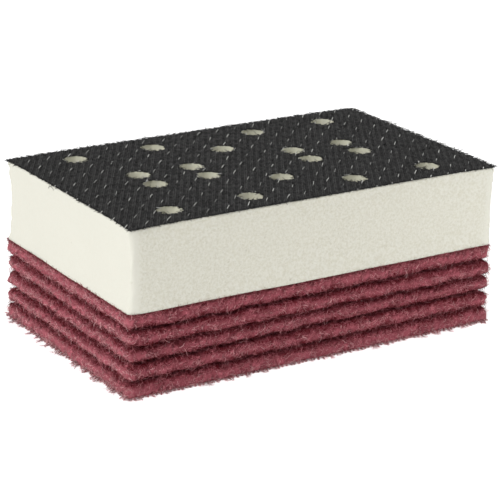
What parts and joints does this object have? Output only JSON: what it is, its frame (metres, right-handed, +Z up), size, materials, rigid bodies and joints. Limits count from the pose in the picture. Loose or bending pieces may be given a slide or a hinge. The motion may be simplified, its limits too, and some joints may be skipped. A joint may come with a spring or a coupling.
{
  "type": "sanding block",
  "caption": "Soft foam hand sanding block with a black hook facing and through dust holes, standing on loose maroon abrasive fleece pads that lift off one by one.",
  "frame": {"origin": "on the supporting surface, under the centre of the stack", "axes": "+X along the long side, +Y along the short side, +Z up through the hook face"},
  "size_m": [0.1333, 0.0803, 0.0534],
  "materials": {
    "fleece": "open maroon abrasive fleece, matt and fibrous",
    "foam": "soft white foam with fine pores",
    "adhesive": "dull, dried adhesive",
    "facing_cloth": "black knitted cloth with low nylon hooks",
    "stitch": "pale grey tie stitches"
  },
  "bodies": {
    "fleece_pad_1": {"fleece_pad_1": "fleece"},
    "fleece_pad_2": {"fleece_pad_2": "fleece"},
    "fleece_pad_3": {"fleece_pad_3": "fleece"},
    "fleece_pad_4": {"fleece_pad_4": "fleece"},
    "fleece_pad_5": {"fleece_pad_5": "fleece"},
    "block": {"foam_core": "foam", "facing_adhesive": "adhesive", "facing_cloth": "facing_cloth", "tie_stitches": "stitch"}
  },
  "joints": [
    {"name": "fleece_pad_2_lift", "type": "slide", "parent": "fleece_pad_1", "child": "fleece_pad_2", "axis": [0, 0, 1], "range_m": [0, 0.04]},
    {"name": "fleece_pad_3_lift", "type": "slide", "parent": "fleece_pad_2", "child": "fleece_pad_3", "axis": [0, 0, 1], "range_m": [0, 0.04]},
    {"name": "fleece_pad_4_lift", "type": "slide", "parent": "fleece_pad_3", "child": "fleece_pad_4", "axis": [0, 0, 1], "range_m": [0, 0.04]},
    {"name": "fleece_pad_5_lift", "type": "slide", "parent": "fleece_pad_4", "child": "fleece_pad_5", "axis": [0, 0, 1], "range_m": [0, 0.04]},
    {"name": "block_lift", "type": "slide", "parent": "fleece_pad_5", "child": "block", "axis": [0, 0, 1], "range_m": [0, 0.04]}
  ]
}
